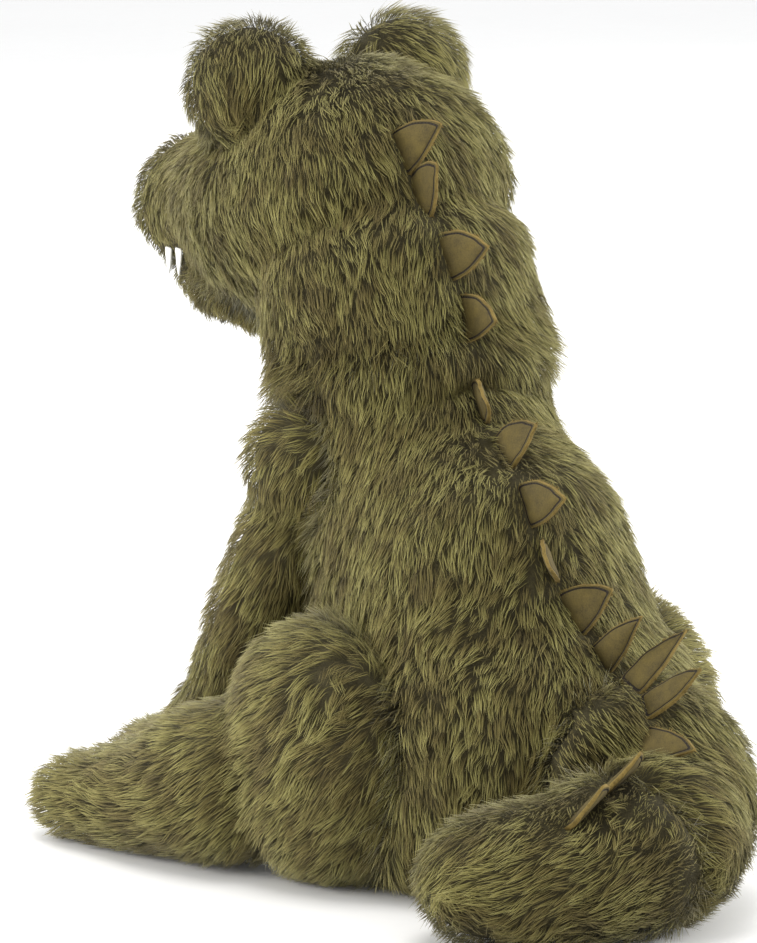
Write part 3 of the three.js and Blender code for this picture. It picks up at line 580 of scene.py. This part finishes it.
def grow_pile(pelts, clears, template, faces, finish):
    """Locks of pile over every pelt, brushed, tufted, and kept clear of what stands beside them."""
    areas = {form: scattered(pelt, None, None) for form, pelt in pelts.items()}
    whole = sum(areas.values())
    for index, (form, pelt) in enumerate(pelts.items()):
        rng = np.random.default_rng(SEED + index)
        count = int(LOCKS * areas[form] / whole)
        root, normal = scattered(pelt, rng, count)
        limbs = tree_of([o for f, o in pelts.items() if f != form])
        hard = [o for objects, _, _ in clears for o in objects]
        others = tree_of([o for f, o in pelts.items() if f != form] + hard)
        # tufts
        tufts = max(40, int(areas[form] / TUFT_AREA))
        middle, outward = scattered(pelt, rng, tufts)
        flow = unit(combed(form, middle))
        ruffled = ruffle(middle)
        flow += (0.25 + 0.55 * ruffled)[:, None] * wandering(middle, 34 * MM, 1)
        flow += (0.12 + 0.45 * ruffled)[:, None] * wandering(middle, 11 * MM, 2)
        flow += 0.10 * rng.normal(size=flow.shape)
        flow -= outward * (flow * outward).sum(1, keepdims=True)
        flow = unit(flow)
        patch = wandering(middle, 22 * MM, 3)[:, 0]
        rise = 0.38 + 0.16 * ruffled + (0.10 + 0.24 * ruffled) * patch
        rise += 0.05 * rng.normal(size=tufts)
        rise = np.clip(rise, 0.22, 0.9)
        tall = np.clip(1 + 0.12 * rng.normal(size=tufts), 0.65, 1.35)
        # each tuft's tone: random, but darker where ruffled, painted shade of the partings, and lighter on
        # the smooth right side, painted light
        tuft_tone_with_painted_shade = 0.55 + 0.40 * wandering(middle, 17 * MM, 4)[:, 0] - 0.12 * ruffled
        tuft_tone_with_painted_shade += 0.10 * rng.normal(size=tufts)
        tuft_tone_with_painted_shade = np.clip(tuft_tone_with_painted_shade + 0.1 * (middle[:, 0] < -0.03), 0.03, 0.97)
        tree = KDTree(tufts)
        for i, p in enumerate(middle):
            tree.insert(p, i)
        tree.balance()
        jitter = root + rng.normal(size=root.shape) * 1.1 * MM
        mine = np.array([tree.find(p)[1] for p in jitter])
        # each lock's line
        seam, facing = near(limbs, root, SEAM_REACH)
        reach = PILE_LENGTH * tall[mine] * np.clip(1 + 0.16 * rng.normal(size=count), 0.5, 1.4)
        fill = SEAM_FILL.get(form, SEAM_LEAST)
        reach *= np.interp(seam, [0, SEAM_REACH], [1 + fill, 1.0])
        if form in ("head", "jaw"):
            reach *= np.interp(root[:, 1], [-0.29, -0.18], [0.62, 1.0])
        for objects, clear, least in clears:
            gap = near(tree_of(objects), root, clear)[0]
            reach *= np.interp(gap, [0.25 * clear, clear], [least, 1.0])
        lean = flow[mine] + 0.10 * rng.normal(size=root.shape)
        lean -= normal * (lean * normal).sum(1, keepdims=True)
        lean = unit(lean)
        up = rise[mine][:, None] + 0.07 * rng.normal(size=(count, 1))
        up += np.interp(seam, [0, SEAM_RISE], [0.6 * fill, 0.0])[:, None]
        up = np.clip(up, 0.15, 0.95)
        line = normal * up + lean * np.sqrt(1 - up * up)
        # beside a seam the pile stands out of the crease and fills it
        fillet = unit(normal + facing) * np.interp(seam, [0, SEAM_RISE], [1.1, 0.0])[:, None]
        opening = (normal * facing).sum(1) > -0.85
        line = unit(line + fillet * opening[:, None])
        tip = root + reach[:, None] * line
        top = middle + PILE_LENGTH * tall[:, None] * (
            outward * rise[:, None] + flow * np.sqrt(1 - rise[:, None] ** 2)
        )
        pull = (TUFT_PULL + 0.22 * rng.random(count)) * (0.35 + 0.65 * ruffled[mine])
        pull *= np.clip(reach / PILE_LENGTH, 0, 1) ** 2
        pull *= np.interp(seam, [2 * MM, SEAM_RISE], [0.2, 1.0])
        tip += (top[mine] - tip) * pull[:, None]
        # nothing passes through a neighbour or the floor
        along = tip - root
        length = np.linalg.norm(along, axis=1)
        along /= length[:, None]
        keep = np.ones(count, bool)
        press = np.ones(count)
        for i in range(count):
            p, d = Vector(root[i]), Vector(along[i])
            hit = others.ray_cast(p, d, length[i] + 1 * MM)
            if hit[0] is not None:
                press[i] = max(0.12, (hit[3] - 0.6 * MM) / length[i])
            if seam[i] < 4 * MM and limbs.ray_cast(p, Vector(normal[i]), COVERED)[0] is not None:
                keep[i] = rng.random() < 0.35
                press[i] = min(press[i], 0.2)
        tip = root + along * (length * press)[:, None]
        under = (normal[:, 2] < -0.75) & (root[:, 2] < 5 * MM)
        keep &= ~under | (rng.random(count) < 0.3)
        keep &= ~((root[:, 2] < 0.6 * MM) & (rng.random(count) < 0.5))
        bulge = normal * (0.13 * length * press)[:, None]
        waist = root * (1 - LOCK_WAIST) + tip * LOCK_WAIST + bulge
        floor = FLOOR_GAP + 1.6 * MM * rng.random(count)
        tip[:, 2] = np.maximum(tip[:, 2], floor)
        waist[:, 2] = np.maximum(waist[:, 2], 0.8 * floor)
        base = root - normal * 0.6 * MM
        base[:, 2] = np.maximum(base[:, 2], 0.6 * FLOOR_GAP)
        width = LOCK_WIDTH * np.clip(1 + 0.25 * rng.normal(size=count), 0.5, 1.7)
        width *= np.clip(press, 0.5, 1)
        across = unit(np.cross(along, normal) + 0.5 * rng.normal(size=root.shape))
        across -= along * (across * along).sum(1, keepdims=True)
        across = unit(across)
        other = np.cross(along, across)
        shade = np.clip(tuft_tone_with_painted_shade[mine] + 0.09 * rng.normal(size=count), 0.02, 0.98)
        centre = np.empty((count, len(template), 3))
        for k, h in enumerate(template[:, 2]):
            centre[:, k] = base if h < 0.2 else waist if h < 0.75 else tip
        order = np.nonzero(keep)[0]
        order = order[np.argsort(root[order, 2])]
        parts = max(1, math.ceil(len(order) / PIECE_LOCKS))
        for part, chosen in enumerate(np.array_split(order, parts)):
            name = f"{form}_pile" + (f"_{part + 1}" if parts > 1 else "")
            made = copies_mesh(
                name,
                template,
                faces,
                centre[chosen],
                across[chosen] * width[chosen, None],
                other[chosen] * width[chosen, None] * LOCK_FLAT,
                normal[chosen],
                shade[chosen],
                finish,
            )
            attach(made, FORMS[form])


# ------------------------------------------------------------------ spikes and teeth
def flap_frame(node):
    """A flat node's far face: its rim points, the direction through the cloth, and the thickness."""
    obj = frame["nodes"][node]
    points = np.array([v.co for v in obj.data.vertices], float)
    broad = max(obj.data.polygons, key=lambda face: face.area)
    through = np.array(broad.normal, float)
    middle = (points.max(0) + points.min(0)) / 2
    depth = (points - middle) @ through
    rim = points[depth > depth.mean()]
    rim = np.unique(np.round(rim, 7), axis=0)
    return rim, through, depth.max() - depth.min()


def outline_of(rim, through, root_from):
    """The flap's middle, its directions along and up, and its outline as ordered points in them."""
    spread = rim - rim.mean(0)
    spread -= np.outer(spread @ through, through)
    toward = unit(root_from - rim.mean(0))
    toward -= through * np.dot(toward, through)
    up = -unit(toward)
    along = np.cross(up, through)
    flat = np.stack([spread @ along, spread @ up], 1)
    order = np.argsort(np.arctan2(flat[:, 1] - flat[:, 1].mean(), flat[:, 0] - flat[:, 0].mean()))
    return rim.mean(0), along, up, flat[order]


def resampled(loop, count):
    """A closed outline's points at even steps along it."""
    closed = np.vstack([loop, loop[:1]])
    step = np.linalg.norm(np.diff(closed, axis=0), axis=1)
    place = np.concatenate([[0], np.cumsum(step)])
    at = np.linspace(0, place[-1], count, endpoint=False)
    return np.stack([np.interp(at, place, closed[:, k]) for k in range(2)], 1)


def rounded(loop, passes):
    for _ in range(passes):
        loop = 0.5 * loop + 0.25 * (np.roll(loop, 1, 0) + np.roll(loop, -1, 0))
    return loop


def leafed(loop, belly):
    """An outline whose two sides bow outwards between the foot and the tip, most halfway up."""
    rise = (loop[:, 1] - loop[:, 1].min()) / (loop[:, 1].max() - loop[:, 1].min())
    out = np.stack([np.sign(loop[:, 0] - np.median(loop[:, 0])), np.zeros(len(loop))], 1)
    return loop + out * (belly * np.sin(math.pi * np.clip(rise, 0, 1)) ** 1.5)[:, None]


def mark_seam(flap, loop, rows):
    """Gives the flap's edge faces and its sunk seam their own finishes, by the row each lies in; the sunk
    seam's is near black, the seam's own dark together with painted shade in its groove.
    """
    points = len(loop)
    level_of = KDTree(len(rows) * points)
    for k, (share, _) in enumerate(rows):
        for i, p in enumerate((loop - loop.mean(0)) * share + loop.mean(0)):
            level_of.insert((*p, 0), k * points + i)
    level_of.balance()
    row_of = [level_of.find((v.co.x, v.co.y, 0))[1] // points for v in flap.data.vertices]
    for face in flap.data.polygons:
        most = max(row_of[v] for v in face.vertices)
        least = min(row_of[v] for v in face.vertices)
        face.material_index = 2 if most <= 1 else 1 if least >= 2 and most <= 4 else 0


def stitches(loop, level):
    """The stitches along a flap's seam, on both faces, in its flat pattern."""
    bar = SHAPES["stitch"][0]
    inner = (loop - loop.mean(0)) * SEAM_SHARE + loop.mean(0)
    round_it = np.linalg.norm(np.diff(np.vstack([inner, inner[:1]]), axis=0), axis=1).sum()
    seam = resampled(inner, max(18, int(round_it / STITCH_STEP)))
    ahead = unit(np.roll(seam, -1, 0) - np.roll(seam, 1, 0))
    placed = []
    for sign in (1, -1):
        for p, d in zip(seam, ahead, strict=True):
            place = np.array([*p, sign * level])
            along, side = np.array([*d, 0]), np.array([-d[1], d[0], 0])
            placed.append(place + bar[:, 0:1] * along + bar[:, 1:2] * side + bar[:, 2:3] * [0, 0, 1])
    return np.array(placed)


def cloth_flap(
    name,
    node,
    body,
    root_from,
    finishes,
    rows,
    points=60,
    curl=0.0,
    cup=0.0,
    belly=0.0,
    stitched=True,
    seed=0,
):
    """Two layers of cloth sewn round the edge, modelled flat by extruding and scaling, then curled."""
    rng = np.random.default_rng(SEED + 100 + seed)
    rim, through, thick = flap_frame(node)
    middle, along, up, flat = outline_of(rim, through, root_from)
    loop = leafed(rounded(resampled(flat, points), 1), belly)
    centre = Vector((*loop.mean(0), 0))
    deselect()
    bpy.ops.mesh.primitive_circle_add(vertices=points, radius=1, fill_type="NGON")
    made = bpy.context.object
    made.name = made.data.name = name
    flat_points = np.column_stack([loop, np.full(points, -rows[0][1])])
    set_places(made, flat_points)
    bpy.ops.object.mode_set(mode="EDIT")
    bpy.ops.mesh.select_all(action="SELECT")
    bpy.ops.mesh.extrude_region_move(TRANSFORM_OT_translate={"value": (0, 0, 2 * rows[0][1])})
    bpy.ops.mesh.select_all(action="SELECT")
    bpy.ops.mesh.normals_make_consistent(inside=False)
    for sign in (1, -1):
        before = 1.0, rows[0][1]
        bpy.ops.mesh.select_all(action="DESELECT")
        mesh = bmesh.from_edit_mesh(made.data)
        mesh.faces.ensure_lookup_table()
        for face in mesh.faces:
            level = face.calc_center_median().z * sign
            if len(face.verts) == points and level > 0:
                face.select_set(True)
        bmesh.update_edit_mesh(made.data)
        for share, lift in rows[1:]:
            size = share / before[0]
            step = {"value": (0, 0, sign * (lift - before[1]))}
            bpy.ops.mesh.extrude_region_move(TRANSFORM_OT_translate=step)
            bpy.ops.transform.resize(value=(size, size, 1), center_override=centre)
            before = share, lift
        bpy.ops.mesh.poke()
    bpy.ops.object.mode_set(mode="OBJECT")
    smooth_faces(made)
    made.data.materials.append(finishes[0])
    if stitched:
        made.data.materials.append(finishes[3])
        made.data.materials.append(finishes[2])
        mark_seam(made, loop, rows)
    half = thick / 2
    high = loop[:, 1].max() - loop[:, 1].min()
    low = loop[:, 1].min()

    def shaped(p):
        """From the flat pattern to the sewn and curled flap, in the frame."""
        rise = np.clip((p[..., 1] - low) / high, 0, 1)
        wide = p[..., 0] / max(abs(loop[:, 0]).max(), 1e-6)
        bow = curl * rise**2 + cup * rise * (1 - wide**2)
        flatten = np.interp(rise, [0, 0.25, 1], [1.0, 1.0, 0.72])
        z = p[..., 2] * flatten * half / (2 * MM) + bow
        return (
            middle
            - through * half
            + p[..., 0:1] * along
            + p[..., 1:2] * up
            + z[..., None] * through
        )

    work = places(made)
    wobble = np.array([noise.noise(Vector(p) / (5 * MM) + Vector((seed, 3, 1))) for p in work])
    work[:, 2] += wobble * 0.5 * MM * (np.abs(work[:, 2]) > 0.6 * MM)
    if stitched:
        add_copies(made, shaped(stitches(loop, rows[3][1])), SHAPES["stitch"][1], finishes[1])
    final = places(made)
    final[: len(work)] = shaped(work)
    set_places(made, final)
    if len(finishes) > 2:
        fuzz(made, loop, shaped, rows[0][1], finishes[2], rng)
    use(made)
    bpy.ops.object.mode_set(mode="EDIT")
    bpy.ops.mesh.select_all(action="SELECT")
    bpy.ops.mesh.normals_make_consistent(inside=False)
    bpy.ops.object.mode_set(mode="OBJECT")
    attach(made, body)
    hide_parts(node)
    return made


def stitch_template():
    """One stitch: a short rounded bar of thread lying along X."""
    deselect()
    bpy.ops.mesh.primitive_uv_sphere_add(segments=6, ring_count=4, radius=1)
    bar = bpy.context.object
    points = places(bar) * 0.3 * MM
    points = points[:, [2, 1, 0]] * np.array([3.0, 1.0, 1.0])
    faces = [tuple(reversed(p.vertices)) for p in bar.data.polygons]
    bpy.data.objects.remove(bar)
    return points, faces


def add_copies(obj, groups, faces, finish):
    """Adds copies of one small shape, (copy, point, 3) in groups, to an object in another finish."""
    mesh = bmesh.new()
    mesh.from_mesh(obj.data)
    slot = len(obj.data.materials)
    obj.data.materials.append(finish)
    for group in groups:
        made = [mesh.verts.new(p) for p in group]
        for face in faces:
            new = mesh.faces.new([made[k] for k in face])
            new.smooth = True
            new.material_index = slot
    mesh.to_mesh(obj.data)
    mesh.free()


def fuzz(obj, loop, shaped, level, finish, rng):
    """Short loose fibres standing out from a flap's cut edge."""
    template, faces = SHAPES["lock"]
    rim = resampled(loop, 150)
    out = rim - loop.mean(0)
    out /= np.linalg.norm(out, axis=1, keepdims=True)
    high = rim[:, 1] > np.quantile(rim[:, 1], 0.22)
    groups = []
    for p, d in zip(rim[high], out[high], strict=True):
        z = (rng.random() * 2 - 1) * level
        start = np.array([*(p - d * 0.4 * MM), z])
        turn = d + 0.7 * rng.normal(size=2)
        end = start + np.array([*(turn * 0.8 * MM), 0.5 * MM * rng.normal()])
        aside = np.array([-turn[1], turn[0], 0]) * 0.16
        groups.append(
            start
            + (end - start) * template[:, 2:3]
            + aside * template[:, 0:1] * MM
            + np.array([0, 0, 0.16 * MM]) * template[:, 1:2]
        )
    add_copies(obj, shaped(np.array(groups)), faces, finish)


SHAPES = {}  # small shapes made once and copied: a lock of pile and a stitch
# Rows of a flap from its edge inwards: each one's share of the outline's size, and its height.
SPIKE_ROWS = [
    (1.0, 0.75 * MM),
    (0.975, 1.1 * MM),
    (0.91, 1.3 * MM),
    (0.87, 0.75 * MM),
    (0.83, 1.3 * MM),
    (0.70, 1.8 * MM),
    (0.40, 2.0 * MM),
]
SEAM_SHARE = 0.87  # where the stitching runs, as a share of the way out to the edge
STITCH_STEP = 2.0 * MM
TOOTH_ROWS = [(1.0, 0.7 * MM), (0.93, 1.2 * MM), (0.7, 1.7 * MM), (0.35, 2.0 * MM)]


# ------------------------------------------------------------------ eyes and inside pieces
def axis_of(node):
    """A round node's axis: its middle, its direction towards the wide end, and its points."""
    points = np.unique(np.round([v.co for v in frame["nodes"][node].data.vertices], 7), axis=0)
    middle = points.mean(0)
    value, vector = np.linalg.eigh(np.cov((points - middle).T))
    gap = [abs(value[1] - value[2]), abs(value[0] - value[2]), abs(value[0] - value[1])]
    axis = vector[:, int(np.argmin(gap))]
    far = (points - middle) @ axis
    out = np.linalg.norm((points - middle) - np.outer(far, axis), axis=1)
    if far[np.argsort(out)[-12:]].mean() < np.median(far):
        axis = -axis
    far = (points - middle) @ axis
    return middle, axis, far.min(), far.max(), out.max()


def glossy_eye(name, node, body, finish):
    """A domed button on a stem, turned as one piece."""
    middle, axis, low, high, radius = axis_of(node)
    deselect()
    bpy.ops.mesh.primitive_uv_sphere_add(segments=48, ring_count=24, radius=1)
    made = bpy.context.object
    made.name = made.data.name = name
    bpy.ops.object.mode_set(mode="EDIT")
    bpy.ops.mesh.select_all(action="SELECT")
    bpy.ops.mesh.bisect(plane_co=(0, 0, 0), plane_no=(0, 0, 1), use_fill=True, clear_inner=True)
    bpy.ops.mesh.select_all(action="DESELECT")
    mesh = bmesh.from_edit_mesh(made.data)
    for face in mesh.faces:
        if len(face.verts) == 48:
            face.select_set(True)
    bmesh.update_edit_mesh(made.data)
    dome = 4.4 * MM
    for size, down in ((1.0, 0.22), (0.92, 0.12), (0.36, 0.0), (1.0, 1.6), (0.9, 0.1)):
        bpy.ops.mesh.extrude_region_move(TRANSFORM_OT_translate={"value": (0, 0, -down)})
        bpy.ops.transform.resize(value=(size, size, 1), center_override=(0, 0, 0))
    bpy.ops.mesh.select_all(action="SELECT")
    bpy.ops.mesh.normals_make_consistent(inside=False)
    bpy.ops.object.mode_set(mode="OBJECT")
    points = places(made)
    above = points[:, 2] > 0
    points[above, 2] *= dome
    stem = (high - dome - low) / (0.22 + 0.12 + 1.6 + 0.1)
    points[~above, 2] *= stem
    points[:, :2] *= radius
    side = np.cross(axis, [0, 0, 1.0])
    side /= np.linalg.norm(side)
    third = np.cross(axis, side)
    base = middle + axis * (high - dome)
    set_places(made, base + points[:, 0:1] * side + points[:, 1:2] * third + points[:, 2:3] * axis)
    use(made)
    bpy.ops.object.mode_set(mode="EDIT")
    bpy.ops.mesh.select_all(action="SELECT")
    bpy.ops.mesh.normals_make_consistent(inside=False)
    bpy.ops.object.mode_set(mode="OBJECT")
    bpy.ops.object.shade_smooth_by_angle(angle=math.radians(40))
    made.data.materials.append(finish)
    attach(made, body)
    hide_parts(node)
    return made


def soft_copy(name, node, body, voxel, finish):
    """A soft inside piece: the node's shape with its edges rounded off."""
    made = copy_of(node, name)
    apply_modifier(made, "REMESH", mode="VOXEL", voxel_size=voxel)
    apply_modifier(made, "SMOOTH", factor=0.5, iterations=6)
    apply_modifier(made, "SUBSURF", levels=1, render_levels=1)
    smooth_faces(made)
    made.data.materials.append(finish)
    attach(made, body)
    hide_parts(node)
    return made


# ------------------------------------------------------------------ making it
add_studio()
pelt_cloth = mottled_finish("pelt_cloth", linear(44, 39, 18), linear(66, 60, 30), 60, 900, 0.0006, 0.9)
pile = pile_finish()
suede = mottled_finish("suede", linear(58, 48, 13), linear(88, 75, 26), 120, 1400, 0.00025, 0.85)
# near black suede along the sunk seam: the seam's own dark together with painted shade in its groove
seam_painted_shade = mottled_finish("suede_seam_painted_shade", linear(18, 12, 3), linear(30, 21, 6), 200, 1500, 0.0002, 0.9)
thread = mottled_finish("seam_thread", linear(22, 15, 5), linear(38, 28, 10), 300, 2500, 0.0001, 0.7)
suede_edge = mottled_finish("suede_edge", linear(92, 76, 30), linear(126, 106, 50), 200, 1500, 0.0001, 0.9)
felt = mottled_finish("white_felt", linear(222, 222, 218), linear(246, 246, 242), 200, 1600, 0.0003, 0.95)
felt_edge = mottled_finish(
    "felt_edge", linear(232, 232, 228), linear(250, 250, 248), 200, 1500, 0.0001, 0.95
)
wool = mottled_finish("wool_roll", linear(206, 200, 184), linear(236, 232, 220), 90, 700, 0.0008, 0.95)
bag_cloth = mottled_finish("bag_cloth", linear(196, 190, 172), linear(224, 218, 200), 60, 1200, 0.0003, 0.9)
eye_gloss = mottled_finish("eye_gloss", linear(20, 14, 8), linear(34, 24, 14), 150, 600, 0.00001, 0.12)
washer_plastic = mottled_finish(
    "washer_plastic", linear(214, 214, 208), linear(232, 232, 228), 150, 900, 0.00005, 0.45
)

pelts = {form: sewn_pelt(form) for form in FORMS}
stuff(pelts)
for form, pelt in pelts.items():
    pelt.data.materials.clear()
    pelt.data.materials.append(pelt_cloth)
    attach(pelt, FORMS[form])
    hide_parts(f"{form}_skin", f"{form}_stuffing")

SHAPES["lock"] = lock_template()
SHAPES["stitch"] = stitch_template()
bodies = frame["record"]["behaviour"]["bodies"]
spike_nodes = {n: b for b, ns in bodies.items() for n in ns if n.startswith("back_spike")}
tooth_nodes = {n: b for b, ns in bodies.items() for n in ns if n.startswith("felt_tooth")}
flaps = {}
body_trees = {body: tree_of([pelts[body]]) for body in set(spike_nodes.values())}
for i, (node, body) in enumerate(sorted(spike_nodes.items())):
    low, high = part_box(node)
    middle = (low + high) / 2
    nearest = body_trees[body].find_nearest(middle)
    inside = nearest[0] - nearest[1] * 30 * MM
    curl = (2.6 + 1.6 * math.sin(i * 2.4)) * MM * (1 if i % 3 else -1)
    flaps[node] = cloth_flap(
        node + "_flap",
        node,
        body,
        np.array(inside),
        [suede, thread, suede_edge, seam_painted_shade],
        SPIKE_ROWS,
        curl=curl,
        cup=2.2 * MM,
        belly=1.5 * MM,
        seed=i,
    )
for i, (node, body) in enumerate(sorted(tooth_nodes.items())):
    low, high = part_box(node)
    above = np.array((low + high) / 2) + np.array([0, 0, 0.05])
    flaps[node] = cloth_flap(
        node + "_flap",
        node,
        body,
        above,
        [felt, felt, felt_edge],
        TOOTH_ROWS,
        points=36,
        stitched=False,
        seed=40 + i,
    )

eyes = [glossy_eye(f"eye_{s}", f"safety_eye_{s}", "head", eye_gloss) for s in ("left", "right")]
for s in ("left", "right"):
    washer = frame["nodes"][f"eye_washer_{s}"]
    washer.data.materials.clear()
    washer.data.materials.append(washer_plastic)
soft_copy("neck_wool_roll", "neck_wad", "neck", 2.5 * MM, wool)
soft_copy("bean_pouch", "bean_bag", "torso", 4.0 * MM, bag_cloth)

spikes = [o for n, o in flaps.items() if n in spike_nodes]
teeth = [o for n, o in flaps.items() if n in tooth_nodes]
clears = [(spikes, CLEAR_OF_SPIKES, 0.35), (teeth, CLEAR_OF_TEETH, 0.25), (eyes, CLEAR_OF_EYES, 0.4)]
grow_pile(pelts, clears, *SHAPES["lock"], pile)

low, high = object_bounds()
